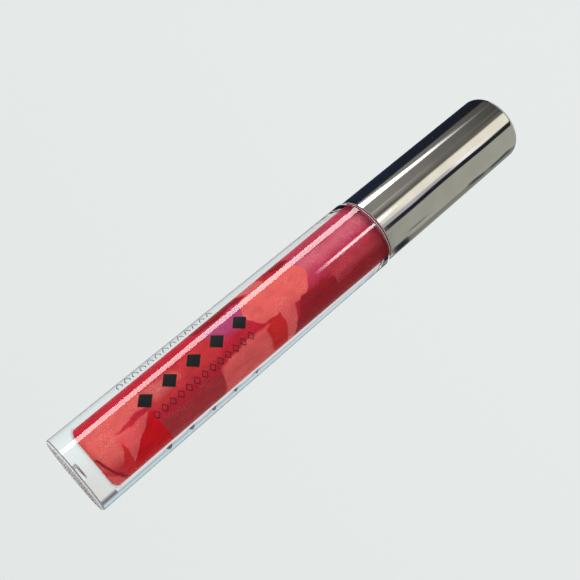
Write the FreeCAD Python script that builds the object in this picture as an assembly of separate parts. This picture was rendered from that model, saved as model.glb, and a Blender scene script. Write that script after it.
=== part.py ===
import FreeCAD, Part
import math
import os

# A lip gloss tube: a clear, thick-walled round bottle with a threaded neck, closed by a tall metal cap
# that carries the wand. Millimetres, +Z up. The origin is the centre of the base, the bottle stands on
# z = 0 and the cap is at the top.

# Bottle: the chamber that holds the gloss
chamber_diameter = 8.8
floor_thickness = 3.8
chamber_corner_radius = 1.4

# Bottle: body around the chamber
body_wall = 3.6
body_height = 75.4
base_edge_radius = 0.5
shoulder_edge_radius = 0.6
standing_ring_width = 1.8
base_recess_depth = 0.25
gate_well_diameter = 2.2
gate_well_depth = 1.3

# Bottle: neck
neck_wall = 1.05
neck_height = 14.0
neck_lip_radius = 0.25
neck_root_radius = 0.3

# Screw thread between the neck and the cap liner
thread_pitch = 2.5
thread_turns = 1.5
thread_height = 0.5
thread_root_width = 1.25
thread_crest_width = 0.65
thread_bottom_above_shoulder = 5.2
thread_crest_clearance = 0.1
thread_sink = 0.15

# Wiper: the soft insert that scrapes the stem
wiper_flange_inset = 0.3
wiper_flange_thickness = 0.8
wiper_wall = 0.7
wiper_straight_length = 7.5
wiper_cone_length = 4.0
wiper_lip_length = 0.9
wiper_lip_wall = 0.45
wiper_stem_clearance = 0.1
wiper_bead_height = 0.15
wiper_bead_width = 1.2
wiper_bead_below_neck_top = 3.4

# Gloss
fill_below_wiper = 0.3
wand_channel_clearance = 0.15
channel_below_tip = 0.4

# Seal washer
washer_thickness = 0.8
washer_stem_clearance = 0.1
seal_gap = 0.02

# Cap shell
cap_step_in = 0.25
cap_height = 43.0
cap_above_shoulder = 0.25
shell_wall = 0.45
shell_top_thickness = 0.6
shell_top_edge_radius = 1.3
shell_rim_radius = 0.15

# Cap liner
liner_above_rim = 0.4
liner_ceiling_thickness = 2.4
liner_post_wall = 1.4
liner_rib_count = 8
liner_rib_thickness = 0.8
liner_top_gap = 1.3
liner_entry_chamfer = 0.35

# Wand
stem_diameter = 4.0
stem_head_step = 0.5
stem_head_length = 11.0
stem_bead_height = 0.15
stem_bead_width = 1.0
stem_bead_above_ceiling = 5.5
stem_collar_step = 0.9
stem_collar_thickness = 0.7
tip_floor_gap = 1.5
tip_length = 14.0
tip_spigot_diameter = 2.2
tip_spigot_length = 8.0
tip_nose_flat = 0.3
tip_slant_degrees = 16.0
tip_nose_thickness = 1.8
flock_thickness = 0.3

# Places that follow from the sizes above
chamber_radius = chamber_diameter / 2
body_radius = chamber_radius + body_wall
neck_radius = chamber_radius + neck_wall
neck_top = body_height + neck_height
thread_crest_radius = neck_radius + thread_height
thread_bottom = body_height + thread_bottom_above_shoulder
stem_radius = stem_diameter / 2
head_radius = stem_radius + stem_head_step
collar_radius = stem_radius + stem_collar_step
orifice_radius = stem_radius + wiper_stem_clearance
wiper_inner_radius = chamber_radius - wiper_wall
flange_radius = neck_radius - wiper_flange_inset
wiper_cone_top = neck_top - wiper_straight_length
wiper_cone_bottom = wiper_cone_top - wiper_cone_length
wiper_bottom = wiper_cone_bottom - wiper_lip_length
wiper_bead_centre = neck_top - wiper_bead_below_neck_top
fill_level = wiper_bottom - fill_below_wiper
flange_top = neck_top + wiper_flange_thickness
washer_bottom = flange_top + seal_gap
washer_top = washer_bottom + washer_thickness
cap_bottom = body_height + cap_above_shoulder
cap_top = cap_bottom + cap_height
cap_radius = body_radius - cap_step_in
shell_bore_radius = cap_radius - shell_wall
shell_ceiling = cap_top - shell_top_thickness
shell_inner_edge_radius = shell_top_edge_radius - shell_wall
liner_bottom = cap_bottom + liner_above_rim
liner_thread_crest_radius = thread_crest_radius + thread_crest_clearance
liner_bore_radius = liner_thread_crest_radius + thread_height
liner_ceiling = washer_top + seal_gap
liner_floor_top = liner_ceiling + liner_ceiling_thickness
liner_top = shell_ceiling - liner_top_gap
post_radius = head_radius + liner_post_wall
stem_bead_centre = liner_ceiling + stem_bead_above_ceiling
tip_bottom = floor_thickness + tip_floor_gap
stem_bottom = tip_bottom + tip_length

ORIGIN = FreeCAD.Vector(0, 0, 0)
UP = FreeCAD.Vector(0, 0, 1)


def turned(corners):
    """Solid turned about the Z axis. A corner is (radius, height), or (radius, height, fillet)."""
    points = [FreeCAD.Vector(corner[0], 0, corner[1]) for corner in corners]
    joins = []
    for index, corner in enumerate(corners):
        here = points[index]
        if len(corner) < 3:
            joins.append((here, None, here))
            continue
        back = (points[index - 1] - here).normalize()
        ahead = (points[(index + 1) % len(points)] - here).normalize()
        half_angle = back.getAngle(ahead) / 2
        middle = (back + ahead).normalize()
        reach = corner[2] / math.tan(half_angle)
        centre = here + middle * (corner[2] / math.sin(half_angle))
        joins.append((here + back * reach, centre - middle * corner[2], here + ahead * reach))
    edges = []
    for index, (start, via, end) in enumerate(joins):
        if via is not None:
            edges.append(Part.Arc(start, via, end).toShape())
        next_start = joins[(index + 1) % len(joins)][0]
        if end.distanceToPoint(next_start) > 1e-6:
            edges.append(Part.LineSegment(end, next_start).toShape())
    return Part.Face(Part.Wire(edges)).revolve(ORIGIN, UP, 360)


def bead_corners(radius, centre, height, width, direction):
    """Three corners of a low V-shaped bead on a wall of that radius, listed downwards or upwards."""
    half = direction * width / 2
    return [(radius, centre - half), (radius + height, centre), (radius, centre + half)]


def thread_ridge(root_radius, crest_radius, bottom):
    """Right-hand thread ridge of trapezium section, wound from bottom, from root to crest radius."""
    inward = math.copysign(thread_sink, root_radius - crest_radius)
    helix = Part.makeHelix(thread_pitch, thread_pitch * thread_turns, root_radius)
    section = Part.makePolygon(
        [
            FreeCAD.Vector(root_radius + inward, 0, -thread_root_width / 2),
            FreeCAD.Vector(crest_radius, 0, -thread_crest_width / 2),
            FreeCAD.Vector(crest_radius, 0, thread_crest_width / 2),
            FreeCAD.Vector(root_radius + inward, 0, thread_root_width / 2),
            FreeCAD.Vector(root_radius + inward, 0, -thread_root_width / 2),
        ]
    )
    ridge = Part.Wire(helix.Edges).makePipeShell([section], True, True)
    ridge.translate(UP * bottom)
    return ridge


def bottle():
    """Clear bottle: thick wall, heavy floor, threaded neck with a groove for the wiper's bead."""
    recess_radius = body_radius - standing_ring_width
    well_radius = gate_well_diameter / 2
    well_top = base_recess_depth + gate_well_depth
    outside = turned(
        [
            (0, 0),
            (body_radius, 0, base_edge_radius),
            (body_radius, body_height, shoulder_edge_radius),
            (neck_radius, body_height, neck_root_radius),
            (neck_radius, neck_top, neck_lip_radius),
            (0, neck_top),
        ]
    )
    recess = turned(
        [
            (0, -1),
            (recess_radius, -1),
            (recess_radius, 0),
            (recess_radius - base_recess_depth, base_recess_depth),
            (well_radius, base_recess_depth),
            (well_radius, well_top, 0.3),
            (0, well_top),
        ]
    )
    groove = bead_corners(
        chamber_radius, wiper_bead_centre, wiper_bead_height, wiper_bead_width, 1
    )
    chamber = turned(
        [
            (0, floor_thickness),
            (chamber_radius, floor_thickness, chamber_corner_radius),
            *groove,
            (chamber_radius, neck_top + 1),
            (0, neck_top + 1),
        ]
    )
    ridge = thread_ridge(neck_radius, thread_crest_radius, thread_bottom)
    return outside.fuse(ridge).cut(recess).cut(chamber)


def gloss_fill():
    """The gloss: fills the chamber up to the wiper, with the channel that the wand stands in."""
    channel_radius = stem_radius + wand_channel_clearance
    channel_bottom = tip_bottom - channel_below_tip
    return turned(
        [
            (0, floor_thickness),
            (chamber_radius, floor_thickness, chamber_corner_radius),
            (chamber_radius, fill_level),
            (channel_radius, fill_level),
            (channel_radius, channel_bottom, channel_radius * 0.8),
            (0, channel_bottom),
        ]
    )


def wiper():
    """Soft neck insert: a flange on the neck's lip, a plug in the neck and a cone down to the lip."""
    lip_outer_radius = orifice_radius + wiper_lip_wall
    bead = bead_corners(
        chamber_radius, wiper_bead_centre, wiper_bead_height, wiper_bead_width, -1
    )
    return turned(
        [
            (wiper_inner_radius, flange_top, 0.2),
            (flange_radius, flange_top, 0.25),
            (flange_radius, neck_top),
            (chamber_radius, neck_top),
            *bead,
            (chamber_radius, wiper_cone_top),
            (lip_outer_radius, wiper_cone_bottom),
            (lip_outer_radius, wiper_bottom),
            (orifice_radius, wiper_bottom),
            (orifice_radius, wiper_cone_bottom),
            (wiper_inner_radius, wiper_cone_top),
        ]
    )


def seal_washer():
    """Foam ring that the cap squeezes on to the wiper's flange. It is trapped on the stem."""
    inner_radius = stem_radius + washer_stem_clearance
    return turned(
        [
            (inner_radius, washer_bottom),
            (flange_radius, washer_bottom),
            (flange_radius, washer_top),
            (inner_radius, washer_top),
        ]
    )


def cap_shell():
    """Drawn metal cup with a rounded top edge."""
    return turned(
        [
            (shell_bore_radius, cap_bottom, shell_rim_radius),
            (cap_radius, cap_bottom, shell_rim_radius),
            (cap_radius, cap_top, shell_top_edge_radius),
            (0, cap_top),
            (0, shell_ceiling),
            (shell_bore_radius, shell_ceiling, shell_inner_edge_radius),
        ]
    )


def cap_liner():
    """Moulded liner: threaded skirt, ceiling, and a ribbed post that holds the head of the stem."""
    skirt = turned(
        [
            (liner_bore_radius + liner_entry_chamfer, liner_bottom),
            (shell_bore_radius, liner_bottom),
            (shell_bore_radius, liner_floor_top),
            (0, liner_floor_top),
            (0, liner_ceiling),
            (liner_bore_radius, liner_ceiling),
            (liner_bore_radius, liner_bottom + liner_entry_chamfer),
        ]
    )
    post = Part.makeCylinder(post_radius, liner_top - liner_ceiling, UP * liner_ceiling)
    solid = skirt.fuse(post)
    rib_length = shell_bore_radius + 1
    envelope = Part.makeCylinder(shell_bore_radius, liner_top - liner_ceiling, UP * liner_ceiling)
    for index in range(liner_rib_count):
        corner = FreeCAD.Vector(0, -liner_rib_thickness / 2, liner_ceiling)
        rib = Part.makeBox(rib_length, liner_rib_thickness, liner_top - liner_ceiling, corner)
        rib.rotate(ORIGIN, UP, index * 360 / liner_rib_count)
        solid = solid.fuse(rib.common(envelope))
    socket = turned(
        [
            (0, liner_ceiling - 1),
            (head_radius, liner_ceiling - 1),
            *bead_corners(head_radius, stem_bead_centre, stem_bead_height, stem_bead_width, 1),
            (head_radius, liner_top + 1),
            (0, liner_top + 1),
        ]
    )
    ridge_bottom = thread_bottom + thread_pitch / 2
    ridge = thread_ridge(liner_bore_radius, liner_thread_crest_radius, ridge_bottom)
    return solid.cut(socket).removeSplitter().fuse(ridge)


def wand_stem():
    """Moulded stem: a head with a snap bead, a collar under the washer and a socket for the tip."""
    spigot_radius = tip_spigot_diameter / 2
    head_top = liner_ceiling + stem_head_length
    collar_top = flange_top
    socket_top = stem_bottom + tip_spigot_length
    return turned(
        [
            (spigot_radius, stem_bottom),
            (stem_radius, stem_bottom, 0.15),
            (stem_radius, collar_top - stem_collar_thickness),
            (collar_radius, collar_top - stem_collar_thickness, 0.2),
            (collar_radius, collar_top, 0.2),
            (stem_radius, collar_top),
            (stem_radius, liner_ceiling),
            (head_radius, liner_ceiling),
            *bead_corners(head_radius, stem_bead_centre, stem_bead_height, stem_bead_width, 1),
            (head_radius, head_top, 0.4),
            (0, head_top),
            (0, socket_top),
            (spigot_radius, socket_top),
        ]
    )


def paddle(inset):
    """Doe-foot of the tip: a round-nosed cylinder cut off at a slant, drawn in by inset."""
    radius = stem_radius - inset
    bottom = tip_bottom + inset
    body = turned(
        [
            (0, bottom),
            (radius, bottom, radius - tip_nose_flat),
            (radius, stem_bottom),
            (0, stem_bottom),
        ]
    )
    block_size = 4 * tip_length
    block = Part.makeBox(
        block_size, block_size, block_size, FreeCAD.Vector(0, -block_size / 2, -block_size / 2)
    )
    slant = math.radians(tip_slant_degrees)
    block.rotate(ORIGIN, FreeCAD.Vector(0, 1, 0), tip_slant_degrees)
    face_x = tip_nose_thickness - stem_radius - inset / math.cos(slant)
    block.translate(FreeCAD.Vector(face_x, 0, tip_bottom))
    return body.cut(block)


def applicator_core():
    """Soft core of the tip, with the spigot that plugs into the stem."""
    spigot = Part.makeCylinder(
        tip_spigot_diameter / 2, tip_spigot_length + flock_thickness, UP * (stem_bottom - flock_thickness)
    )
    return paddle(flock_thickness).fuse(spigot).removeSplitter()


def flock_sleeve():
    """Pile of short fibres glued all over the core."""
    return paddle(0).cut(paddle(flock_thickness))


PARTS = {
    "bottle": bottle,
    "gloss_fill": gloss_fill,
    "wiper": wiper,
    "seal_washer": seal_washer,
    "cap_shell": cap_shell,
    "cap_liner": cap_liner,
    "wand_stem": wand_stem,
    "applicator_core": applicator_core,
    "flock_sleeve": flock_sleeve,
}


os.makedirs("parts", exist_ok=True)
for name, make in PARTS.items():
    shape = make()
    print(f"{name:16s} {shape.ShapeType:9s} solids {len(shape.Solids)} valid {shape.isValid()}"
          f" volume {shape.Volume:9.2f} z {shape.BoundBox.ZMin:7.2f} {shape.BoundBox.ZMax:7.2f}"
          f" r {max(shape.BoundBox.XMax, shape.BoundBox.YMax):6.3f}")
    shape.exportStep(f"parts/{name}.step")
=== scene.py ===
import math
import random
import bmesh
import bpy
from mathutils import Matrix, Vector


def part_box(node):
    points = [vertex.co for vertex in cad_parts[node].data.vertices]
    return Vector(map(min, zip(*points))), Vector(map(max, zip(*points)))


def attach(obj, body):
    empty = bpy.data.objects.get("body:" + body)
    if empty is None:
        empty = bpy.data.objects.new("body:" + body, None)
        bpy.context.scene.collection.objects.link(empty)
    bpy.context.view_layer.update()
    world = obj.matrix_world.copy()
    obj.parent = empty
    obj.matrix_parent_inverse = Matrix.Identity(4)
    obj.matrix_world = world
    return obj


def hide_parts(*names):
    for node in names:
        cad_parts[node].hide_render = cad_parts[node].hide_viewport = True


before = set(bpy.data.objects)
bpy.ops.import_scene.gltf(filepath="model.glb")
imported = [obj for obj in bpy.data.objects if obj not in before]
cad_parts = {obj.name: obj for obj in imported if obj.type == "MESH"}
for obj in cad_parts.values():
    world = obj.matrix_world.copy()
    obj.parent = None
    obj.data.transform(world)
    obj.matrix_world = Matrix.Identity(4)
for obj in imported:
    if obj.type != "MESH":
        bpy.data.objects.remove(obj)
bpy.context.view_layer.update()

MM = 0.001
TINY = 1e-7

# Places read from the frame, in metres
bottle_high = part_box("bottle")[1]
gloss_low, gloss_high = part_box("gloss_fill")
wiper_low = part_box("wiper")[0]
shell_low, shell_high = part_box("cap_shell")
tip_low, tip_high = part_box("flock_sleeve")
BODY_RADIUS = bottle_high.x
NECK_TOP = bottle_high.z
CHAMBER_RADIUS = gloss_high.x
CHAMBER_FLOOR = gloss_low.z
FILL_LEVEL = gloss_high.z
WIPER_BOTTOM = wiper_low.z
CAP_BOTTOM = shell_low.z
CAP_TOP = shell_high.z
TIP_RADIUS = tip_high.y
TIP_BOTTOM = tip_low.z
TIP_TOP = tip_high.z

# Bottle details that the boxes don't hold
CAP_ABOVE_SHOULDER = 0.25 * MM
SHOULDER_HEIGHT = CAP_BOTTOM - CAP_ABOVE_SHOULDER
NECK_WALL = 1.05 * MM
NECK_RADIUS = CHAMBER_RADIUS + NECK_WALL
BASE_EDGE = 0.5 * MM
SHOULDER_EDGE = 0.6 * MM
NECK_ROOT = 0.3 * MM
NECK_LIP = 0.25 * MM
CHAMBER_CORNER = 1.4 * MM
RING_WIDTH = 1.8 * MM
RECESS_DEPTH = 0.25 * MM
WELL_RADIUS = 1.1 * MM
WELL_DEPTH = 1.3 * MM
WELL_EDGE = 0.3 * MM
SCAR_DEPTH = 0.45 * MM
GROOVE_DEPTH = 0.15 * MM
GROOVE_HALF = 0.6 * MM
GROOVE_CENTRE = NECK_TOP - 3.4 * MM

# The bottle's materials, in the order of its slots. Above this share of the base's rounded edge lies a dark
# line of painted shade, and the same share of the shoulder's rounded edge is rough and tinted pale pink, a
# painted highlight.
CLEAR, GATE_SCAR, SATIN_BASE, BASE_SHADE_LINE, SHOULDER_HIGHLIGHT = range(5)
LINE_SHARE = 0.6

# Neck thread
THREAD_PITCH = 2.5 * MM
THREAD_TURNS = 1.5
THREAD_HEIGHT = 0.5 * MM
THREAD_ROOT_HALF = 0.625 * MM
THREAD_CREST_HALF = 0.325 * MM
THREAD_BOTTOM = SHOULDER_HEIGHT + 5.2 * MM
THREAD_START = math.radians(90)
THREAD_FADE = math.radians(30)
THREAD_ROWS = 110

# Gloss
WETTING = 0.02 * MM
MENISCUS_RISE = 0.35 * MM
MENISCUS_REACH = 0.6 * MM
CHANNEL_RADIUS = TIP_RADIUS + 0.15 * MM
CHANNEL_BOTTOM = TIP_BOTTOM - 0.4 * MM
CHANNEL_MOUTH_EDGE = 0.3 * MM
CHANNEL_END_EDGE = 0.8 * CHANNEL_RADIUS

# Refractive indices
PLASTIC_IOR = 1.57
GLOSS_IOR = 1.473

# Ornament: azimuths from the front (-Y) towards +X. A mark is drawn in rings, at shares of its size, and is
# filled in when its last ring is smaller than FILLED_BELOW.
PRINT_START = 16.9 * MM
INK_HEIGHT = 0.012 * MM
INK_SINK = 0.004 * MM
BOLD_COUNT = 5
BOLD_PITCH = 5.65 * MM
BOLD_AZIMUTH = math.radians(-16)
BOLD_HALF_WIDTH = 1.65 * MM
BOLD_HALF_HEIGHT = 1.75 * MM
BOLD_RINGS = (1, 0.7, 0.4, 0.05)
FINE_COUNT = 13
FINE_PITCH = BOLD_PITCH * (BOLD_COUNT - 1) / (FINE_COUNT - 1)
FINE_AZIMUTH = math.radians(7.5)
FINE_HALF_WIDTH = 0.9 * MM
FINE_HALF_HEIGHT = 0.7 * MM
FINE_RINGS = (1, 0.74)
FILLED_BELOW = 0.1
SIDE_STEPS = 5

# Pile on the tip. A fibre's length varies by FIBRE_LENGTH_RANGE, and it leans off its face's normal at random
# and downwards. Its foot is sunk into the base of the pile, which is the sleeve drawn in. CORE_SHIFT is how
# far the tip's middle lies behind the axis, because its front is slanted, and a face whose normal is more
# upright than LEVEL_NORMAL is level.
PILE_SEED = 7
FIBRE_COUNT = 5200
FIBRE_LENGTH = 0.2 * MM
FIBRE_LENGTH_RANGE = (0.7, 1.2)
FIBRE_RADIUS = 0.022 * MM
FIBRE_SIDES = 3
LEAN_SPREAD = 0.35
LEAN_DOWN = 0.35
PILE_BASE_INSET = 0.14 * MM
FIBRE_FOOT_INSET = 1.3 * PILE_BASE_INSET
CORE_SHIFT = 0.2 * MM
LEVEL_NORMAL = 0.999
WELD_DISTANCE = 0.001 * MM

# Meshes
SEGMENTS = 256
ARC_STEPS = 10
SUPPORT = 0.03 * MM
SHARP_ANGLE = math.radians(40)

# Camera: below the base, looking up along the tube, rolled so that the tube lies across the picture
CAMERA_DISTANCE = 0.15414
CAMERA_HEIGHT = -0.00682
AIM_HEIGHT = 0.05454
AIM_SIDE = -0.00082
CAMERA_ROLL = math.radians(50.1)
FOCAL_LENGTH = 51.0
SENSOR_WIDTH = 36.0


# ---------------------------------------------------------------- camera

def look_along(location, target, roll):
    """Matrix of a camera at location that looks at target, turned by roll about its view."""
    view = (Vector(target) - Vector(location)).to_track_quat("-Z", "Y").to_matrix().to_4x4()
    return Matrix.Translation(location) @ view @ Matrix.Rotation(roll, 4, "Z")


def make_camera():
    """Camera in front of the tube and a little below its base, as the photograph was taken."""
    data = bpy.data.cameras.new("camera")
    data.lens = FOCAL_LENGTH
    data.sensor_width = SENSOR_WIDTH
    data.clip_start = 0.005
    data.clip_end = 20
    camera = bpy.data.objects.new("camera", data)
    bpy.context.scene.collection.objects.link(camera)
    camera.matrix_world = look_along(
        (0, -CAMERA_DISTANCE, CAMERA_HEIGHT), (AIM_SIDE, 0, AIM_HEIGHT), CAMERA_ROLL
    )
    bpy.context.scene.camera = camera


# ---------------------------------------------------------------- mesh helpers

def on_cylinder(radius, azimuth, height):
    """Point at an azimuth in radians, measured from the front (-Y) towards +X."""
    return Vector((radius * math.sin(azimuth), -radius * math.cos(azimuth), height))


def rounded(corners):
    """Outline through corners (radius, height) or (radius, height, fillet), with arcs at the fillets.
    A point close to each end of an arc keeps the straight wall beside it shaded as flat."""
    points = [Vector(corner[:2]) for corner in corners]
    outline = []
    for index, corner in enumerate(corners):
        here = points[index]
        if len(corner) < 3:
            outline.append(here)
            continue
        back = (points[index - 1] - here).normalized()
        ahead = (points[(index + 1) % len(points)] - here).normalized()
        half_angle = back.angle(ahead) / 2
        middle = (back + ahead).normalized()
        centre = here + middle * (corner[2] / math.sin(half_angle))
        start = here + back * (corner[2] / math.tan(half_angle)) - centre
        finish = here + ahead * (corner[2] / math.tan(half_angle)) - centre
        sweep = start.angle_signed(finish)
        outline.append(centre + start + back * SUPPORT)
        for step in range(ARC_STEPS + 1):
            turn = Matrix.Rotation(-sweep * step / ARC_STEPS, 2)
            outline.append(centre + turn @ start)
        outline.append(centre + finish + ahead * SUPPORT)
    return outline


def finished_object(name, mesh):
    """Object made from a bmesh, with smooth faces and sharp corners."""
    bmesh.ops.recalc_face_normals(mesh, faces=mesh.faces[:])
    data = bpy.data.meshes.new(name)
    mesh.to_mesh(data)
    mesh.free()
    data.polygons.foreach_set("use_smooth", [True] * len(data.polygons))
    data.set_sharp_from_angle(angle=SHARP_ANGLE)
    piece = bpy.data.objects.new(name, data)
    bpy.context.scene.collection.objects.link(piece)
    return piece


def lathe(name, outline, rise=None):
    """Piece turned about the Z axis. rise(radius, height, azimuth) is added to the radius."""
    mesh = bmesh.new()
    rings = []
    for radius, height in outline:
        if radius < TINY:
            rings.append([mesh.verts.new((0, 0, height))] * SEGMENTS)
            continue
        ring = []
        for segment in range(SEGMENTS):
            azimuth = 2 * math.pi * segment / SEGMENTS
            here = radius + (rise(radius, height, azimuth) if rise else 0)
            ring.append(mesh.verts.new(on_cylinder(here, azimuth, height)))
        rings.append(ring)
    for lower, upper in zip(rings, rings[1:]):
        for segment in range(SEGMENTS):
            following = (segment + 1) % SEGMENTS
            corners = [lower[segment], lower[following], upper[following], upper[segment]]
            mesh.faces.new(list(dict.fromkeys(corners)))
    return finished_object(name, mesh)


# ---------------------------------------------------------------- bottle and gloss

def thread_rise(radius, height, azimuth):
    """How far the thread stands out of the neck at a point of it."""
    if abs(radius - NECK_RADIUS) > TINY or not SHOULDER_HEIGHT < height < NECK_TOP:
        return 0
    total = THREAD_TURNS * 2 * math.pi
    most = 0
    for turn in range(math.ceil(THREAD_TURNS)):
        wound = (azimuth - THREAD_START) % (2 * math.pi) + turn * 2 * math.pi
        if wound > total:
            continue
        offset = abs(height - THREAD_BOTTOM - THREAD_PITCH * wound / (2 * math.pi))
        flank = (THREAD_ROOT_HALF - offset) / (THREAD_ROOT_HALF - THREAD_CREST_HALF)
        fade = min(1, wound / THREAD_FADE, (total - wound) / THREAD_FADE)
        most = max(most, min(1, flank) * fade)
    return THREAD_HEIGHT * most


def bottle_material(place):
    """Material slot of the bottle's face whose middle is at place."""
    height = place.z
    out = place.xy.length
    scar_bottom = RECESS_DEPTH + WELL_DEPTH - SCAR_DEPTH
    line_bottom = LINE_SHARE * BASE_EDGE
    if scar_bottom < height < CHAMBER_FLOOR / 2 and out < WELL_RADIUS:
        return GATE_SCAR
    # Painted shade: a dark line along the base's rounded edge
    if line_bottom < height < BASE_EDGE and out > BODY_RADIUS - BASE_EDGE:
        return BASE_SHADE_LINE
    if height < line_bottom and out > WELL_RADIUS:
        return SATIN_BASE
    # Painted highlight: a pale pink line along the shoulder's rounded edge, which is also rough
    if height > SHOULDER_HEIGHT - LINE_SHARE * SHOULDER_EDGE and out > BODY_RADIUS - SHOULDER_EDGE:
        return SHOULDER_HIGHLIGHT
    return CLEAR


def clear_bottle():
    """Thick clear bottle: recessed base with the gate's well, heavy floor, threaded neck."""
    recess_radius = BODY_RADIUS - RING_WIDTH
    well_top = RECESS_DEPTH + WELL_DEPTH
    neck_low = SHOULDER_HEIGHT + 2 * NECK_ROOT
    neck_high = NECK_TOP - 2 * NECK_LIP
    neck_rows = [
        (NECK_RADIUS, neck_low + (neck_high - neck_low) * row / THREAD_ROWS)
        for row in range(THREAD_ROWS + 1)
    ]
    outline = rounded([
        (0, well_top),
        (WELL_RADIUS, well_top, WELL_EDGE),
        (WELL_RADIUS, RECESS_DEPTH),
        (recess_radius - RECESS_DEPTH, RECESS_DEPTH),
        (recess_radius, 0),
        (BODY_RADIUS, 0, BASE_EDGE),
        (BODY_RADIUS, SHOULDER_HEIGHT, SHOULDER_EDGE),
        (NECK_RADIUS, SHOULDER_HEIGHT, NECK_ROOT),
        *neck_rows,
        (NECK_RADIUS, NECK_TOP, NECK_LIP),
        (CHAMBER_RADIUS, NECK_TOP),
        (CHAMBER_RADIUS, GROOVE_CENTRE + GROOVE_HALF),
        (CHAMBER_RADIUS + GROOVE_DEPTH, GROOVE_CENTRE),
        (CHAMBER_RADIUS, GROOVE_CENTRE - GROOVE_HALF),
        (CHAMBER_RADIUS, CHAMBER_FLOOR, CHAMBER_CORNER),
        (0, CHAMBER_FLOOR),
    ])
    bottle = lathe("clear_bottle", outline, rise=thread_rise)
    bottle.visible_shadow = False
    for material in (
        clear_plastic("clear_plastic"),
        clear_plastic("gate_scar", (0.30, 0.28, 0.28), 0.5, 0.3),
        clear_plastic("satin_base", (0.86, 0.83, 0.84), 0.35, 0.12),
        # Dark tint: painted shade along the base's rounded edge
        clear_plastic("base_painted_shade", (0.16, 0.15, 0.17), 0.3, 0.5),
        # Pale pink tint: a painted highlight on the shoulder's rounded edge
        clear_plastic("shoulder_painted_highlight", (0.95, 0.80, 0.87), 0.35, 0.3),
    ):
        bottle.data.materials.append(material)
    for face in bottle.data.polygons:
        face.material_index = bottle_material(face.center)
    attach(bottle, "bottle_body")
    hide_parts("bottle")


def gloss_body():
    """The gloss: it wets the chamber's wall, climbs it a little at the top and closes in on the wand."""
    outer = CHAMBER_RADIUS + WETTING
    bottom = CHAMBER_FLOOR - WETTING
    outline = rounded([
        (0, bottom),
        (outer, bottom, CHAMBER_CORNER),
        (outer, FILL_LEVEL + MENISCUS_RISE),
        (CHAMBER_RADIUS - MENISCUS_REACH, FILL_LEVEL, MENISCUS_REACH),
        (CHANNEL_RADIUS, FILL_LEVEL, CHANNEL_MOUTH_EDGE),
        (CHANNEL_RADIUS, CHANNEL_BOTTOM, CHANNEL_END_EDGE),
        (0, CHANNEL_BOTTOM),
    ])
    gloss = lathe("gloss_body", outline)
    gloss.data.materials.append(swirled_gloss("wetting_gloss", True))
    gloss.data.materials.append(swirled_gloss("open_gloss", False))
    for face in gloss.data.polygons:
        off_wall = face.center.xy.length < outer - WETTING
        face.material_index = int(off_wall and face.center.z > CHANNEL_BOTTOM - WETTING)
    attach(gloss, "bottle_body")
    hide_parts("gloss_fill")


# ---------------------------------------------------------------- printed ornament

def lozenge(half_width, half_height):
    """Outline of a lozenge round (0, 0), as (across, up) points, with its sides divided."""
    corners = [(half_width, 0), (0, half_height), (-half_width, 0), (0, -half_height)]
    outline = []
    for index, corner in enumerate(corners):
        following = corners[(index + 1) % len(corners)]
        for step in range(SIDE_STEPS):
            share = step / SIDE_STEPS
            outline.append(tuple(a + (b - a) * share for a, b in zip(corner, following)))
    return outline


def printed_mark(mesh, azimuth, height, outline, sizes):
    """Thin raised patch of ink on the bottle: outline drawn at each of sizes, outermost first."""
    def ring(radius, size):
        reach = size / BODY_RADIUS
        return [
            mesh.verts.new(on_cylinder(radius, azimuth + across * reach, height + up * size))
            for across, up in outline
        ]

    top = BODY_RADIUS + INK_HEIGHT
    foot = BODY_RADIUS - INK_SINK
    rings = [ring(foot, sizes[0]), *[ring(top, size) for size in sizes], ring(foot, sizes[-1])]
    if sizes[-1] < FILLED_BELOW:
        rings.pop()
        mesh.faces.new(rings[-1])
    for outer, inner in zip(rings, rings[1:]):
        for index in range(len(outline)):
            following = (index + 1) % len(outline)
            mesh.faces.new([outer[index], outer[following], inner[following], inner[index]])


def ornament(name, turn):
    """A row of bold lozenges over a row of small open ones, printed along the bottle."""
    mesh = bmesh.new()
    bold = lozenge(BOLD_HALF_WIDTH, BOLD_HALF_HEIGHT)
    fine = lozenge(FINE_HALF_WIDTH, FINE_HALF_HEIGHT)
    for index in range(BOLD_COUNT):
        height = PRINT_START + index * BOLD_PITCH
        printed_mark(mesh, BOLD_AZIMUTH + turn, height, bold, BOLD_RINGS)
    for index in range(FINE_COUNT):
        height = PRINT_START + index * FINE_PITCH
        printed_mark(mesh, FINE_AZIMUTH + turn, height, fine, FINE_RINGS)
    print_piece = finished_object(name, mesh)
    print_piece.data.materials.append(printed_ink())
    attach(print_piece, "bottle_body")


# ---------------------------------------------------------------- flocked tip

def outer_skin(mesh):
    """Faces of the tip's sleeve that look outwards, without its level upper end."""
    core = Vector((-CORE_SHIFT, 0, TIP_BOTTOM + (TIP_TOP - TIP_BOTTOM) / 2))
    return [
        face for face in mesh.faces
        if face.normal.dot(face.calc_center_median() - core) > 0 and abs(face.normal.z) < LEVEL_NORMAL
    ]


def scattered_fibres(skin):
    """Fibres spread evenly over the skin's faces, as (root, direction, length, normal)."""
    shares = random.Random(PILE_SEED)
    areas = [face.calc_area() for face in skin]
    fibres = []
    for face in shares.choices(skin, weights=areas, k=FIBRE_COUNT):
        first, second = sorted((shares.random(), shares.random()))
        corners = [corner.co for corner in face.verts[:3]]
        if len(face.verts) > 3 and shares.random() < 0.5:
            corners = [face.verts[0].co, face.verts[2].co, face.verts[3].co]
        root = corners[0] * first + corners[1] * (second - first) + corners[2] * (1 - second)
        lean = Vector([shares.gauss(0, LEAN_SPREAD) for _ in range(3)]) - Vector((0, 0, LEAN_DOWN))
        direction = (face.normal + lean).normalized()
        length = FIBRE_LENGTH * shares.uniform(*FIBRE_LENGTH_RANGE)
        fibres.append((root, direction, length, face.normal.copy()))
    return fibres


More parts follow.
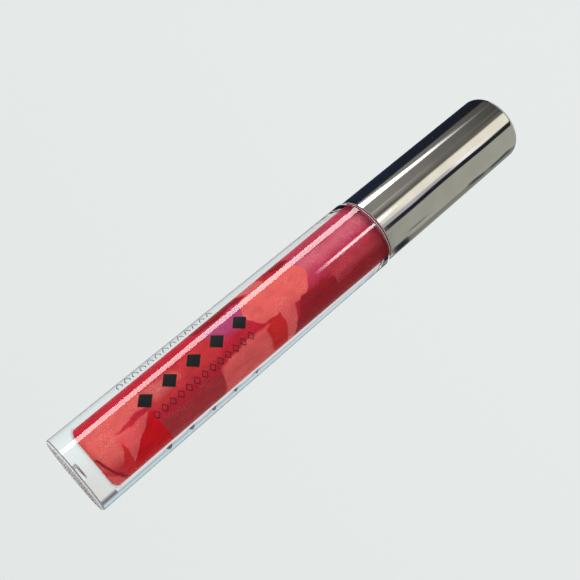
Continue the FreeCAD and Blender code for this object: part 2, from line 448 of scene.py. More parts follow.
def flocked_tip():
    """Soaked pile of short fibres on the shape of the tip's sleeve."""
    mesh = bmesh.new()
    mesh.from_mesh(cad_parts["flock_sleeve"].data)
    bmesh.ops.remove_doubles(mesh, verts=mesh.verts[:], dist=WELD_DISTANCE)
    mesh.normal_update()
    fibres = scattered_fibres(outer_skin(mesh))
    for vertex in mesh.verts:
        vertex.co -= vertex.normal * PILE_BASE_INSET
    for root, direction, length, normal in fibres:
        side = direction.orthogonal().normalized() * FIBRE_RADIUS
        foot = root - normal * FIBRE_FOOT_INSET
        ring = [
            mesh.verts.new(foot + Matrix.Rotation(2 * math.pi * step / FIBRE_SIDES, 3, direction) @ side)
            for step in range(FIBRE_SIDES)
        ]
        point = mesh.verts.new(foot + direction * length)
        for step in range(FIBRE_SIDES):
            mesh.faces.new([ring[step], ring[(step + 1) % FIBRE_SIDES], point])
        mesh.faces.new(ring[::-1])
    tip = finished_object("flocked_tip", mesh)
    tip.data.materials.append(soaked_flock())
    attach(tip, "cap_body")
    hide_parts("flock_sleeve")


# ---------------------------------------------------------------- materials

def new_material(name):
    """New material, its node tree and the tree's Principled shader."""
    material = bpy.data.materials.new(name)
    material.use_nodes = True
    shader = material.node_tree.nodes["Principled BSDF"]
    return material, material.node_tree, shader


def clear_plastic(name, tint=(0.985, 0.995, 0.995), roughness=0.0, clearness=1.0):
    """Clear plastic. Where it is scarred, satin, or tinted to paint shade or a highlight, clearness is the
    share of light that goes through.
    """
    material, _, shader = new_material(name)
    shader.inputs["Base Color"].default_value = (*tint, 1)
    shader.inputs["Roughness"].default_value = roughness
    shader.inputs["IOR"].default_value = PLASTIC_IOR
    shader.inputs["Transmission Weight"].default_value = clearness
    return material


# Linear colours of the gloss. Those of the folds on the shaded side are stronger. PEARL is how much brighter
# a flake is than the gloss around it, STREAK_TINT is what a streak multiplies the gloss by, WETTED_TINT is
# the tint of what the wetted wall mirrors, and GLOSS_FILM is the film that the wiper leaves on the stem.
RED = (0.70, 0.044, 0.052)
CRIMSON = (0.64, 0.020, 0.043)
DEEP_RED = (0.33, 0.009, 0.013)
CORAL = (0.92, 0.145, 0.135)
PINK = (0.81, 0.150, 0.150)
ROSE = (0.60, 0.053, 0.100)
MAGENTA = (0.60, 0.044, 0.104)
# A painted sheen: the pink of the gloss's pearly glow, just below the strip light's highlight
PAINTED_PINK_SHEEN = (0.74, 0.140, 0.200)
DUSKY_RED = (0.62, 0.055, 0.080)
VIOLET = (0.54, 0.072, 0.205)
PLUM = (0.34, 0.030, 0.070)
PEARL = (1.6, 3.8, 3.2)
SHADED_SCARLET = (0.76, 0.004, 0.012)
SHADED_RED = (0.78, 0.025, 0.027)
SHADED_CRIMSON = (0.74, 0.038, 0.052)
SHADED_PINK = (0.96, 0.115, 0.125)
SHADED_BLUSH = (0.95, 0.135, 0.138)
SHADED_MAROON = (0.50, 0.038, 0.050)
SHADED_DARK = (0.40, 0.015, 0.025)
STREAK_TINT = (0.62, 0.50, 0.55)
WETTED_TINT = (1.0, 0.95, 0.95)
GLOSS_FILM = (0.30, 0.012, 0.020)

# Folds on the front half of the gloss, the later ones on top. Each is a patch of the chamber's wall:
# its corners as (azimuth in degrees, height in millimetres), how far its corners are rounded off and how
# soft its edge is, both in millimetres, and its colour.
FOLDS = [
    (((-52, 15), (5, 17), (8, 33), (-45, 36)), 2.0, 0.9, RED),
    (((-46, 17.5), (-16, 19), (-20, 25), (-44, 24)), 1.2, 0.8, PINK),
    (((-64, 0), (110, 0), (64, 9.4), (22, 13.8), (-2, 17), (-47, 17.5)), 1.0, 0.25, CORAL),
    (((24, 0), (110, 0), (110, 12), (44, 12)), 1.0, 1.4, SHADED_CRIMSON),
    (((-64, 33), (-15, 35), (-20, 46), (-60, 46)), 2.0, 1.3, VIOLET),
    (((-132, 27), (-104, 29), (-66, 35), (-66, 46), (-104, 43), (-140, 36)), 1.2, 0.2, DEEP_RED),
    (((-142, 41), (-110, 40.5), (-64, 46), (-60, 51), (-110, 48.5)), 0.8, 0.4, PINK),
    (((-140, 48), (-110, 49), (-60, 54.5), (-58, 57.6), (-110, 54.5)), 0.8, 0.3, DEEP_RED),
    (((-120, 53.6), (-60, 57.6), (-60, 79), (-135, 79), (-138, 62)), 1.5, 0.5, ROSE),
    (((-66, 54), (14, 54), (20, 79), (-62, 79)), 1.0, 0.35, MAGENTA),
    # Painted sheen: a soft pink glow below the strip light's highlight
    (((-46, 57), (-18, 57), (-18, 79), (-46, 79)), 1.0, 0.9, PAINTED_PINK_SHEEN),
    (((16, 56), (110, 52), (110, 79), (26, 79)), 1.0, 1.6, SHADED_DARK),
    (((4, 62), (42, 60), (42, 79), (8, 79)), 1.0, 1.2, DUSKY_RED),
    (((-64, 43), (-22, 41), (8, 43), (24, 49.5), (16, 55.4), (-30, 57.6), (-64, 55)), 1.6, 0.15, CORAL),
    (((26, 15), (118, 13), (126, 24), (114, 33), (30, 31)), 1.0, 0.3, SHADED_MAROON),
    (((22, 31.5), (112, 30), (132, 36), (118, 44), (18, 45)), 1.2, 0.3, SHADED_BLUSH),
    (((24, 43.4), (110, 42.8), (110, 47), (20, 48.5)), 0.6, 0.4, SHADED_RED),
    (((12, 48), (110, 46), (110, 47.6), (12, 51.5)), 0.3, 0.2, SHADED_BLUSH),
    (((13, 53), (110, 46.6), (110, 62), (24, 62)), 1.0, 0.2, SHADED_DARK),
    (((-7, 9.0), (-6, 16.4), (31, 13.0), (70, 9.4), (62, 8.2)), 0.8, 0.2, SHADED_PINK),
    (((-3, 17.0), (110, 17.4), (110, 5.0), (31, 12.2)), 0.25, 0.08, SHADED_SCARLET),
    (((2, 9.5), (40, 7.9), (110, 6.4), (110, 9.0), (40, 9.6)), 0.3, 0.2, SHADED_RED),
    (((20, 2), (110, 2), (110, 6.6), (66, 6.6)), 0.4, 0.3, SHADED_BLUSH),
    (((4, 3.8), (90, 7.0), (90, 7.6), (4, 4.3)), 0.1, 0.16, SHADED_DARK),
    (((-17, 9.6), (-3, 12.8), (-5, 17.0), (-16, 18.6), (-19, 13.8)), 0.5, 0.22, CRIMSON),
]

# Swirls on the back half and at the gloss's top: azimuth in degrees, height, half width and half height in
# millimetres, lean in degrees, softness of the edge, colour
SWIRLS = [
    (172, 12.0, 3.6, 7.0, 15, 0.12, CORAL),
    (-165, 27.0, 3.4, 8.0, -20, 0.12, MAGENTA),
    (165, 44.0, 3.6, 8.0, 20, 0.10, DEEP_RED),
    (-170, 62.0, 3.8, 9.0, -15, 0.10, CORAL),
    (0, 78.2, 8.0, 2.4, 0, 0.35, PLUM),
]
SWIRL_DEPTH = 8 * MM

# The gloss's fine marbling: each warp is (features a metre, reach), and each scale is in features a metre
BROAD_WARP = (130, 2.4 * MM)
FINE_WARP = (420, 0.8 * MM)
STREAK_SCALE = 900
FLAKE_SCALE = 3800
CLOUD_SCALE = 260
STREAK_SHARE = 0.35
FLAKE_SHARE = 0.5


def added(tree, kind, **settings):
    """New node of that kind with attributes set."""
    node = tree.nodes.new(kind)
    for key, value in settings.items():
        setattr(node, key, value)
    return node


def object_place(tree):
    """Socket with the point's place in the object, in metres."""
    return added(tree, "ShaderNodeTexCoord").outputs["Object"]


def noise(tree, place, scale, detail=2.0, stretch=(1, 1, 1)):
    """Noise texture at that many features a metre, stretched along the axes."""
    spread = added(tree, "ShaderNodeMapping")
    spread.inputs["Scale"].default_value = stretch
    texture = added(tree, "ShaderNodeTexNoise")
    texture.inputs["Scale"].default_value = scale
    texture.inputs["Detail"].default_value = detail
    tree.links.new(place, spread.inputs["Vector"])
    tree.links.new(spread.outputs["Vector"], texture.inputs["Vector"])
    return texture


def warped(tree, place, scale, amount):
    """place, shifted about by noise, at most about half of amount each way."""
    shift = added(tree, "ShaderNodeVectorMath", operation="MULTIPLY_ADD")
    shift.inputs[1].default_value = (amount, amount, amount)
    tree.links.new(noise(tree, place, scale).outputs["Color"], shift.inputs[0])
    tree.links.new(place, shift.inputs[2])
    centred = added(tree, "ShaderNodeVectorMath", operation="SUBTRACT")
    centred.inputs[1].default_value = (amount / 2, amount / 2, amount / 2)
    tree.links.new(shift.outputs[0], centred.inputs[0])
    return centred.outputs[0]


def mixed(tree, share, first, second, blend="MIX"):
    """Colour socket: first, with second laid over it by share. A colour or a share may be a plain value."""
    mix = added(tree, "ShaderNodeMix", data_type="RGBA", blend_type=blend)
    for value, socket in ((share, mix.inputs[0]), (first, mix.inputs[6]), (second, mix.inputs[7])):
        if isinstance(value, bpy.types.NodeSocket):
            tree.links.new(value, socket)
        elif isinstance(value, tuple):
            socket.default_value = (*value, 1)
        else:
            socket.default_value = value
    return mix.outputs[2]


def ranged(tree, value, low, high, from_value=0.0, to_value=1.0, smooth=True):
    """Socket that goes from from_value at low to to_value at high."""
    node = added(tree, "ShaderNodeMapRange", interpolation_type="SMOOTHSTEP" if smooth else "LINEAR")
    node.inputs["From Min"].default_value = low
    node.inputs["From Max"].default_value = high
    node.inputs["To Min"].default_value = from_value
    node.inputs["To Max"].default_value = to_value
    tree.links.new(value, node.inputs["Value"])
    return node.outputs[0]


def swirl_share(tree, place, azimuth, height, half_width, half_height, lean, softness):
    """How much of one swirl shows at place: an oval on the chamber's wall with a soft edge."""
    spot = added(tree, "ShaderNodeMapping", vector_type="TEXTURE")
    spot.inputs["Location"].default_value = on_cylinder(CHAMBER_RADIUS, math.radians(azimuth), height * MM)
    spot.inputs["Rotation"].default_value = (0, math.radians(lean), math.radians(azimuth))
    spot.inputs["Scale"].default_value = (half_width * MM, SWIRL_DEPTH, half_height * MM)
    reach = added(tree, "ShaderNodeVectorMath", operation="LENGTH")
    tree.links.new(place, spot.inputs["Vector"])
    tree.links.new(spot.outputs["Vector"], reach.inputs[0])
    return ranged(tree, reach.outputs["Value"], 1 - softness, 1 + softness, 1.0, 0.0)


def fold_share(tree, unrolled, corners, rounding, softness):
    """How much of one fold shows at unrolled, which holds (azimuth's arc, height, 1) in millimetres."""
    arc = math.radians(CHAMBER_RADIUS / MM)
    points = [Vector((azimuth * arc, height)) for azimuth, height in corners]
    middle = sum(points, Vector((0, 0))) / len(points)
    inside = None
    for index, point in enumerate(points):
        along = (points[(index + 1) % len(points)] - point).normalized()
        inward = Vector((-along.y, along.x))
        if inward.dot(middle - point) < 0:
            inward.negate()
        side = added(tree, "ShaderNodeVectorMath", operation="DOT_PRODUCT")
        side.inputs[1].default_value = (inward.x, inward.y, -inward.dot(point))
        tree.links.new(unrolled, side.inputs[0])
        if inside is None:
            inside = side.outputs["Value"]
            continue
        nearer = added(tree, "ShaderNodeMath", operation="SMOOTH_MIN")
        nearer.inputs[2].default_value = rounding
        tree.links.new(inside, nearer.inputs[0])
        tree.links.new(side.outputs["Value"], nearer.inputs[1])
        inside = nearer.outputs[0]
    return ranged(tree, inside, -softness, softness)


def unrolled_place(tree, place):
    """Socket with (azimuth's arc on the chamber's wall, height, 1) in millimetres."""
    split = added(tree, "ShaderNodeSeparateXYZ")
    towards_front = added(tree, "ShaderNodeMath", operation="MULTIPLY")
    towards_front.inputs[1].default_value = -1.0
    azimuth = added(tree, "ShaderNodeMath", operation="ARCTAN2")
    arc = added(tree, "ShaderNodeMath", operation="MULTIPLY")
    arc.inputs[1].default_value = CHAMBER_RADIUS / MM
    height = added(tree, "ShaderNodeMath", operation="DIVIDE")
    height.inputs[1].default_value = MM
    joined = added(tree, "ShaderNodeCombineXYZ")
    joined.inputs["Z"].default_value = 1.0
    tree.links.new(place, split.inputs[0])
    tree.links.new(split.outputs["Y"], towards_front.inputs[0])
    tree.links.new(split.outputs["X"], azimuth.inputs[0])
    tree.links.new(towards_front.outputs[0], azimuth.inputs[1])
    tree.links.new(azimuth.outputs[0], arc.inputs[0])
    tree.links.new(split.outputs["Z"], height.inputs[0])
    tree.links.new(arc.outputs[0], joined.inputs["X"])
    tree.links.new(height.outputs[0], joined.inputs["Y"])
    return joined.outputs[0]


def swirled_gloss(name, wetting):
    """Pearly gloss of several reds, folded into each other but not mixed. Where it wets the bottle's wall
    it mirrors only at a flat angle, because its index is just below the plastic's."""
    material, tree, shader = new_material(name)
    place = object_place(tree)
    folded = warped(tree, warped(tree, place, *BROAD_WARP), *FINE_WARP)
    unrolled = unrolled_place(tree, folded)
    colour = CRIMSON
    for corners, rounding, softness, tint in FOLDS:
        colour = mixed(tree, fold_share(tree, unrolled, corners, rounding, softness), colour, tint)
    for azimuth, height, half_width, half_height, lean, softness, tint in SWIRLS:
        share = swirl_share(tree, folded, azimuth, height, half_width, half_height, lean, softness)
        colour = mixed(tree, share, colour, tint)
    streaks = noise(tree, folded, STREAK_SCALE, 4.0, (1, 1, 0.25)).outputs["Fac"]
    streak_share = ranged(tree, streaks, 0.35, 0.75, 0.0, STREAK_SHARE)
    streaked = mixed(tree, streak_share, colour, STREAK_TINT, "MULTIPLY")
    flakes = added(tree, "ShaderNodeTexVoronoi")
    flakes.inputs["Scale"].default_value = FLAKE_SCALE
    tree.links.new(place, flakes.inputs["Vector"])
    dot = ranged(tree, flakes.outputs["Distance"], 0.15, 0.42, FLAKE_SHARE, 0.0)
    clouds = noise(tree, place, CLOUD_SCALE).outputs["Fac"]
    bright = added(tree, "ShaderNodeMath", operation="MULTIPLY")
    tree.links.new(dot, bright.inputs[0])
    tree.links.new(ranged(tree, clouds, 0.38, 0.62), bright.inputs[1])
    pearled = mixed(tree, bright.outputs[0], streaked, PEARL, "MULTIPLY")
    pearled.node.clamp_result = True
    tree.links.new(pearled, shader.inputs["Base Color"])
    shader.inputs["Roughness"].default_value = 0.5 if wetting else 0.08
    if wetting:
        mirror = added(tree, "ShaderNodeBsdfGlossy")
        mirror.inputs["Color"].default_value = (*WETTED_TINT, 1)
        mirror.inputs["Roughness"].default_value = 0.0
        fresnel = added(tree, "ShaderNodeFresnel")
        fresnel.inputs["IOR"].default_value = GLOSS_IOR / PLASTIC_IOR
        both = added(tree, "ShaderNodeMixShader")
        tree.links.new(fresnel.outputs[0], both.inputs["Fac"])
        tree.links.new(shader.outputs[0], both.inputs[1])
        tree.links.new(mirror.outputs[0], both.inputs[2])
        tree.links.new(both.outputs[0], tree.nodes["Material Output"].inputs["Surface"])
        shader.inputs["Specular IOR Level"].default_value = 0.0
    return material


def bumped(tree, shader, height, strength, distance):
    """Bump on a shader from a height socket. distance is the height in metres that 1 stands for."""
    bump = added(tree, "ShaderNodeBump")
    bump.inputs["Strength"].default_value = strength
    bump.inputs["Distance"].default_value = distance
    tree.links.new(height, bump.inputs["Height"])
    tree.links.new(bump.outputs["Normal"], shader.inputs["Normal"])


def polished_nickel():
    """Mirror-polished cap: faint waves from drawing, and hair scratches along the tube."""
    nickel, nickel_dark = (0.47, 0.46, 0.44), (0.43, 0.42, 0.395)
    material, tree, shader = new_material("polished_nickel")
    place = object_place(tree)
    cloud = noise(tree, place, 160, 3.0).outputs["Fac"]
    shade = mixed(tree, ranged(tree, cloud, 0.3, 0.7), nickel, nickel_dark)
    tree.links.new(shade, shader.inputs["Base Color"])
    scratches = noise(tree, place, 5200, stretch=(1, 1, 0.02)).outputs["Fac"]
    tree.links.new(ranged(tree, scratches, 0.35, 0.75, 0.05, 0.11), shader.inputs["Roughness"])
    waves = noise(tree, place, 90, 1.0, (1, 1, 0.15)).outputs["Fac"]
    bumped(tree, shader, waves, 0.25, 0.03 * MM)
    shader.inputs["Metallic"].default_value = 1.0
    return material


def moulded(name, colour, darker, roughness, grain=900):
    """Injection-moulded plastic: slightly uneven colour and sheen, with a fine grain. Returns the material,
    its tree, its shader and the socket with the point's place."""
    material, tree, shader = new_material(name)
    place = object_place(tree)
    cloud = noise(tree, place, 180, 3.0).outputs["Fac"]
    tree.links.new(mixed(tree, ranged(tree, cloud, 0.3, 0.7), colour, darker), shader.inputs["Base Color"])
    sheen = noise(tree, place, grain, 3.0).outputs["Fac"]
    uneven = ranged(tree, sheen, 0.3, 0.7, roughness - 0.06, roughness + 0.08)
    tree.links.new(uneven, shader.inputs["Roughness"])
    bumped(tree, shader, sheen, 0.3, 0.01 * MM)
    return material, tree, shader, place


def laid_over(tree, shader, share, tint):
    """Lay tint by share over the colour that the shader already has."""
    under = shader.inputs["Base Color"].links[0].from_socket
    tree.links.new(mixed(tree, share, under, tint), shader.inputs["Base Color"])


def smeared(tree, shader, place, low, high, most, tint):
    """Film of gloss over a moulded part, by height: its share is most below low, none above high, and in
    between it ends in streaks."""
    streak_reach = 1.6 * (high - low)
    split = added(tree, "ShaderNodeSeparateXYZ")
    tree.links.new(place, split.inputs[0])
    level = added(tree, "ShaderNodeMath", operation="MULTIPLY_ADD")
    level.inputs[1].default_value = streak_reach
    tree.links.new(noise(tree, place, 700, 3.0, (1, 1, 0.12)).outputs["Fac"], level.inputs[0])
    tree.links.new(split.outputs["Z"], level.inputs[2])
    share = ranged(tree, level.outputs[0], low + streak_reach / 2, high + streak_reach / 2, most, 0.0)
    laid_over(tree, shader, share, tint)


def wiper_plastic():
    """Milky soft plastic with gloss left on its lip."""
    milky, milky_dark = (0.84, 0.84, 0.81), (0.78, 0.78, 0.75)
    material, tree, shader, place = moulded("wiper_plastic", milky, milky_dark, 0.38)
    smeared(tree, shader, place, WIPER_BOTTOM + 3 * MM, WIPER_BOTTOM + 8 * MM, 0.85, ROSE)
    shader.inputs["Subsurface Weight"].default_value = 0.35
    shader.inputs["Subsurface Radius"].default_value = (1.0, 0.9, 0.8)
    shader.inputs["Subsurface Scale"].default_value = 0.6 * MM
    return material


def stem_plastic():
    """Glossy black stem, with the thin film of gloss that the wiper leaves on it."""
    black, worn_black = (0.016, 0.016, 0.018), (0.026, 0.025, 0.027)
    material, tree, shader, place = moulded("stem_plastic", black, worn_black, 0.22)
    smeared(tree, shader, place, 30 * MM, 80 * MM, 0.75, GLOSS_FILM)
    shader.inputs["Coat Weight"].default_value = 0.6
    shader.inputs["Coat Roughness"].default_value = 0.06
    return material


def washer_foam():
    """Foamed plastic: small closed cells."""
    foam, foam_dark = (0.88, 0.88, 0.85), (0.80, 0.80, 0.77)
    material, tree, shader, place = moulded("washer_foam", foam, foam_dark, 0.7)
    cells = added(tree, "ShaderNodeTexVoronoi")
    cells.inputs["Scale"].default_value = 4000
    tree.links.new(place, cells.inputs["Vector"])
    bumped(tree, shader, cells.outputs["Distance"], 0.6, 0.08 * MM)
    return material


def soaked_flock():
    """Fibres wet with gloss, lighter where less of it clings."""
    wet, wet_dark = (0.60, 0.030, 0.050), (0.42, 0.016, 0.028)
    material, tree, shader, place = moulded("soaked_flock", wet, wet_dark, 0.42, 2600)
    clumps = noise(tree, place, 1400).outputs["Fac"]
    laid_over(tree, shader, ranged(tree, clumps, 0.5, 0.75, 0.0, 0.5), CORAL)
    shader.inputs["Sheen Weight"].default_value = 0.3
    return material


def printed_ink():
    """Dense black screen ink with a slightly uneven surface."""
    ink, ink_thin = (0.004, 0.006, 0.006), (0.008, 0.010, 0.010)
    material, _, shader, _ = moulded("printed_ink", ink, ink_thin, 0.6, 3000)
    shader.inputs["Specular IOR Level"].default_value = 0.15
    return material


def dress_cad_nodes():
    """Materials of the CAD nodes that are shown as they are."""
    liner, liner_dark = (0.78, 0.78, 0.77), (0.72, 0.72, 0.71)
    core, core_dark = (0.80, 0.78, 0.74), (0.74, 0.72, 0.68)
    dressing = {
        "cap_shell": polished_nickel(),
        "cap_liner": moulded("liner_plastic", liner, liner_dark, 0.42)[0],
        "wiper": wiper_plastic(),
        "seal_washer": washer_foam(),
        "wand_stem": stem_plastic(),
        "applicator_core": moulded("tip_plastic", core, core_dark, 0.5)[0],
    }
    for node, material in dressing.items():
        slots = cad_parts[node].data.materials
        slots.clear()
        slots.append(material)


# ---------------------------------------------------------------- stage and light

# Sizes in metres. A card is a curved sheet round the tube, CARD_GAP in front of the layer behind it. The
# cap's cards begin, and the bottle's end, RIM_MARGIN below the height that is mirrored at the cap's rim.
BACKGROUND_LOW = (0.74, 0.78, 0.765)
BACKGROUND_HIGH = (0.80, 0.83, 0.815)
FLOOR_COLOUR = (0.70, 0.72, 0.71)
FLOOR_RADIUS = 2.5
CARD_DISTANCE = 0.6
CARD_GAP = 0.004
CARD_LOW = -0.3
CARD_HIGH = 1.2
CARD_COLUMNS = 24
CARD_ROWS = 160
RIM_MARGIN = 0.012

# Two waves that a card's wavy sides follow: their phase in radians a metre, and the short wave's share
LONG_WAVE = 47
SHORT_WAVE = 113
SHORT_WAVE_SHARE = 0.7

# Key light: its azimuth in degrees, its height, distance and size in metres, and its power in watts
KEY_AZIMUTH = -50
KEY_HEIGHT = 0.25
KEY_DISTANCE = 0.45
KEY_SIZE = 0.3
KEY_POWER = 1.6


def mirrored_height(height):
    """Height on the cards that the camera sees mirrored at that height of the tube's front."""
    rise = (height - CAMERA_HEIGHT) / (CAMERA_DISTANCE - BODY_RADIUS)
    return height + CARD_DISTANCE * rise


def card_sheet(name, azimuths, top_azimuths, low, high, distance, wave):
    """Upright curved sheet, whose attribute "across" goes from 0 at its first side to 1 at its second."""
    mesh = bmesh.new()
    across_layer = mesh.verts.layers.float.new("across")
    grid = []
    for row in range(CARD_ROWS + 1):
        up = row / CARD_ROWS
        height = low + (high - low) * up
        first, second = [below + (above - below) * up for below, above in zip(azimuths, top_azimuths)]
        line = []
        for column in range(CARD_COLUMNS + 1):
            across = column / CARD_COLUMNS
            short_wave = SHORT_WAVE_SHARE * math.sin(height * SHORT_WAVE + 1) * (1 - across)
            wander = wave * (math.sin(height * LONG_WAVE) + short_wave)
            azimuth = math.radians(first + (second - first) * across + wander)
            corner = mesh.verts.new(on_cylinder(distance, azimuth, height))
            corner[across_layer] = across
            line.append(corner)
        grid.append(line)
    for lower, upper in zip(grid, grid[1:]):
        for column in range(CARD_COLUMNS):
            mesh.faces.new([lower[column], lower[column + 1], upper[column + 1], upper[column]])
    return finished_object(name, mesh)


def card_glow(name, colours, low, high, fades):
    """Glowing material with colours up the card, which thins out at the card's sides."""
    material = bpy.data.materials.new(name)
    material.use_nodes = True
    tree = material.node_tree
    tree.nodes.clear()
    split = added(tree, "ShaderNodeSeparateXYZ")
    ramp = added(tree, "ShaderNodeValToRGB")
    glow = added(tree, "ShaderNodeEmission")
    output = added(tree, "ShaderNodeOutputMaterial")
    strength = max(max(colour) for _, colour in colours)
    stops = ramp.color_ramp.elements
    while len(stops) < len(colours):
        stops.new(0.5)
    while len(stops) > len(colours):
        stops.remove(stops[-1])
    for stop, (height, colour) in zip(stops, colours):
        stop.position = (height - low) / (high - low)
        stop.color = (*[part / strength for part in colour], 1)
    glow.inputs["Strength"].default_value = strength
    tree.links.new(object_place(tree), split.inputs[0])
    tree.links.new(ranged(tree, split.outputs["Z"], low, high, smooth=False), ramp.inputs[0])
    tree.links.new(ramp.outputs[0], glow.inputs["Color"])
    surface = glow.outputs[0]
    if max(fades) > 0:
        width = added(tree, "ShaderNodeAttribute", attribute_name="across").outputs["Fac"]
        solid = added(tree, "ShaderNodeMath", operation="MULTIPLY")
        tree.links.new(ranged(tree, width, 0, fades[0] + TINY), solid.inputs[0])
        tree.links.new(ranged(tree, width, 1 - fades[1] - TINY, 1, 1.0, 0.0), solid.inputs[1])
        both = added(tree, "ShaderNodeMixShader")
        tree.links.new(solid.outputs[0], both.inputs["Fac"])
        tree.links.new(added(tree, "ShaderNodeBsdfTransparent").outputs[0], both.inputs[1])
        tree.links.new(glow.outputs[0], both.inputs[2])
        surface = both.outputs[0]
    tree.links.new(surface, output.inputs["Surface"])
    return material


def card(name, azimuths, colours, low=CARD_LOW, high=CARD_HIGH, top_azimuths=None, seen_in="glossy",
         layer=0, wave=0.0, fades=(0.0, 0.0)):
    """Upright curved card round the tube. azimuths are its two sides in degrees, from the front towards +X;
    top_azimuths are those of its upper edge, colours are (height, colour) stops from low to high, and a
    higher layer stands in front. wave is how far its sides wander in degrees, and fades are the shares of
    its width over which it thins out at its first and its second side."""
    distance = CARD_DISTANCE - layer * CARD_GAP
    sheet = card_sheet(name, azimuths, top_azimuths or azimuths, low, high, distance, wave)
    sheet.data.materials.append(card_glow(name, colours, low, high, fades))
    sheet.visible_camera = False
    sheet.visible_diffuse = False
    sheet.visible_shadow = False
    sheet.visible_glossy = seen_in == "glossy"
    sheet.visible_transmission = seen_in == "transmission"


def cap_cards():
    """Cards that the cap mirrors towards the camera: bright strips and bands between dark flags."""
    rim = mirrored_height(CAP_BOTTOM) - RIM_MARGIN
    end = mirrored_height(CAP_TOP)
    middle = rim + 0.5 * (end - rim)
    navy, night = (0.023, 0.035, 0.065), (0.02, 0.022, 0.034)
    brown, umber = (0.48, 0.475, 0.44), (0.11, 0.105, 0.098)
    lilac, bright_lilac = (0.88, 0.84, 0.96), (1.95, 1.88, 2.05)
    dim_cream, cream = (1.6, 1.55, 1.35), (1.7, 1.65, 1.45)
    smoke = (0.10, 0.10, 0.12)
    card("navy_flag", (-190, -88), [(rim, navy), (end, night)], layer=1, fades=(0.0, 0.06))
    card("brown_flag", (-100, -15), [(rim, brown), (end, umber)], low=rim)
    card("cap_strip", (-83, -65), [
        (rim, (10, 10, 10)),
        (middle, (2.2, 2.2, 2.2)),
        (rim + 0.68 * (end - rim), (0.7, 0.7, 0.7)),
        (rim + 0.85 * (end - rim), (0.2, 0.19, 0.18)),
        (end, (0.14, 0.135, 0.125)),
    ], low=rim, high=end, top_azimuths=(-62, -60), layer=2, fades=(0.2, 0.2))
    card("pale_line", (-36, -25), [
        (rim, (0.8, 0.79, 0.74)),
        (middle, (0.3, 0.29, 0.26)),
        (end, (0.2, 0.19, 0.17)),
    ], low=rim, layer=1, fades=(0.4, 0.4))
    card("dark_line", (-22, -9), [(rim, (0.22, 0.20, 0.17)), (end, (0.26, 0.24, 0.21))], low=rim,
         layer=1, wave=0.8, fades=(0.3, 0.1))
    card("cream_light", (-12, 18), [(rim, dim_cream), (end, cream)], low=rim, layer=2, fades=(0.25, 0.1))
    card("lilac_band", (14, 26), [
        (rim, lilac),
        (mirrored_height(95 * MM), lilac),
        (mirrored_height(98 * MM), bright_lilac),
        (mirrored_height(104 * MM), bright_lilac),
        (mirrored_height(107 * MM), cream),
        (end, cream),
    ], low=rim, high=end + 0.3, layer=1, wave=0.8, fades=(0.1, 0.1))
    card("black_line", (26, 41), [(rim, (0.02, 0.018, 0.05)), (end, (0.03, 0.028, 0.026))], low=rim,
         top_azimuths=(22, 41), layer=3, wave=1.0, fades=(0.15, 0.15))
    card("silver_flag", (36, 132), [(rim, (0.66, 0.67, 0.60)), (end, (0.68, 0.69, 0.61))], low=rim)
    card("side_flag", (112, 175), [(rim, (0.33, 0.33, 0.29)), (end, (0.36, 0.36, 0.33))], low=rim,
         layer=1, fades=(0.25, 0.0))
    card("rim_blob", (104, 150), [(rim, navy)], low=rim, high=mirrored_height(77.8 * MM), layer=2,
         wave=2.0, fades=(0.3, 0.0))
    card("rim_thread", (84, 96), [(rim, (0.14, 0.14, 0.15))], low=mirrored_height(79.5 * MM),
         high=mirrored_height(84 * MM), layer=1, wave=6.0, fades=(0.35, 0.35))
    card("middle_patch", (114, 136), [(rim, smoke)], low=mirrored_height(97 * MM),
         high=mirrored_height(102 * MM), layer=2, wave=5.0, fades=(0.3, 0.3))
    card("end_patch", (112, 134), [(rim, smoke)], low=mirrored_height(104 * MM),
         high=mirrored_height(111 * MM), layer=2, wave=5.0, fades=(0.3, 0.3))


def bottle_cards():
    """Cards that the bottle mirrors towards the camera, and the backdrops seen through its wall."""
    rim = mirrored_height(CAP_BOTTOM) - RIM_MARGIN
    light_foot = mirrored_height(56 * MM)
    card("body_flag", (-95, 131), [(rim, (0.10, 0.10, 0.10))], high=rim)
    card("strip_light", (-76, -62), [(rim, (8, 8, 8))], low=0, high=rim, top_azimuths=(-84, -65), layer=2)
    card("body_light", (-6, 6), [
        (light_foot, (1, 0.98, 0.96)),
        (mirrored_height(60 * MM), (9, 8.8, 8.6)),
        (mirrored_height(63 * MM), (13, 13, 13)),
        (rim, (13, 13, 13)),
    ], low=light_foot, high=rim, layer=3, fades=(0.35, 0.35))
    card("edge_flag", (150, 185), [(rim, (0.14, 0.19, 0.21))], high=rim, layer=1)
    card("blue_backdrop", (-128, -80), [(0, (0.35, 0.49, 0.56)), (0.5, (0.44, 0.56, 0.66))],
         seen_in="transmission")
    card("white_backdrop", (84, 190), [(0, (0.84, 0.91, 0.90)), (0.5, (0.80, 0.82, 0.82))],
         seen_in="transmission")
    card("grey_backdrop", (-200, -128), [(0, (0.62, 0.64, 0.60)), (0.06, (0.80, 0.80, 0.80))],
         seen_in="transmission", layer=1, fades=(0.5, 0.0))
    card("dark_shelf", (-141, -121), [(0, (0.14, 0.11, 0.13))], high=0.046, seen_in="transmission",
         layer=2, fades=(0.5, 0.3))


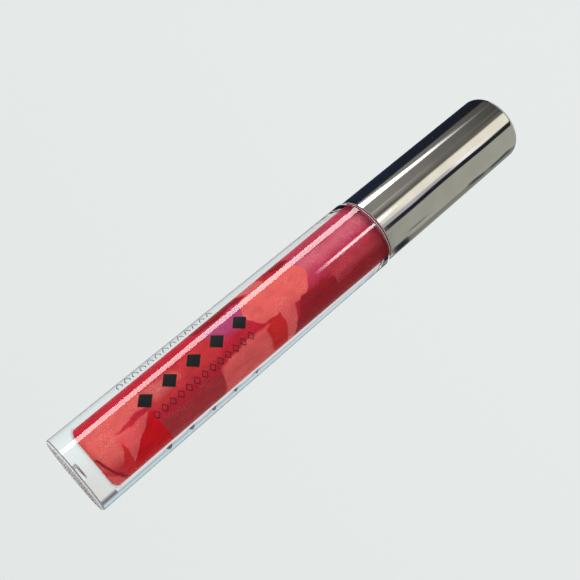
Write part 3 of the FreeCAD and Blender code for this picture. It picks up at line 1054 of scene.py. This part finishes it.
def key_light():
    """Soft lamp that lights the object but isn't mirrored in it."""
    data = bpy.data.lights.new("key_light", "AREA")
    data.shape = "DISK"
    data.size = KEY_SIZE
    data.energy = KEY_POWER
    lamp = bpy.data.objects.new("key_light", data)
    bpy.context.scene.collection.objects.link(lamp)
    location = on_cylinder(KEY_DISTANCE, math.radians(KEY_AZIMUTH), KEY_HEIGHT)
    lamp.matrix_world = look_along(location, (0, 0, AIM_HEIGHT), 0)
    lamp.visible_glossy = False
    lamp.visible_transmission = False
    lamp.visible_camera = False


def make_world():
    """Plain pale surroundings, a little brighter above."""
    world = bpy.data.worlds.new("world")
    bpy.context.scene.world = world
    world.use_nodes = True
    tree = world.node_tree
    split = added(tree, "ShaderNodeSeparateXYZ")
    tree.links.new(added(tree, "ShaderNodeTexCoord").outputs["Generated"], split.inputs[0])
    sky = mixed(tree, ranged(tree, split.outputs["Z"], -1, 1), BACKGROUND_LOW, BACKGROUND_HIGH)
    tree.links.new(sky, tree.nodes["Background"].inputs["Color"])
    bpy.context.scene.view_settings.view_transform = "Standard"


def make_floor():
    """Plain pale floor under the tube. It can't be seen from below, where the front camera stands."""
    mesh = bmesh.new()
    centre = mesh.verts.new((0, 0, 0))
    ring = [
        mesh.verts.new(on_cylinder(FLOOR_RADIUS, 2 * math.pi * step / SEGMENTS, 0))
        for step in range(SEGMENTS)
    ]
    for step in range(SEGMENTS):
        mesh.faces.new([centre, ring[step], ring[(step + 1) % SEGMENTS]])
    floor = finished_object("floor", mesh)
    if floor.data.polygons[0].normal.z < 0:
        floor.data.flip_normals()
    material, tree, shader = new_material("floor")
    shader.inputs["Base Color"].default_value = (*FLOOR_COLOUR, 1)
    shader.inputs["Roughness"].default_value = 0.8
    side = added(tree, "ShaderNodeNewGeometry")
    clear = added(tree, "ShaderNodeBsdfTransparent")
    mix = added(tree, "ShaderNodeMixShader")
    tree.links.new(side.outputs["Backfacing"], mix.inputs["Fac"])
    tree.links.new(shader.outputs[0], mix.inputs[1])
    tree.links.new(clear.outputs[0], mix.inputs[2])
    tree.links.new(mix.outputs[0], tree.nodes["Material Output"].inputs["Surface"])
    floor.data.materials.append(material)


make_camera()
clear_bottle()
gloss_body()
ornament("front_ornament", 0)
ornament("back_ornament", math.pi)
flocked_tip()
dress_cad_nodes()
make_world()
make_floor()
cap_cards()
bottle_cards()
key_light()
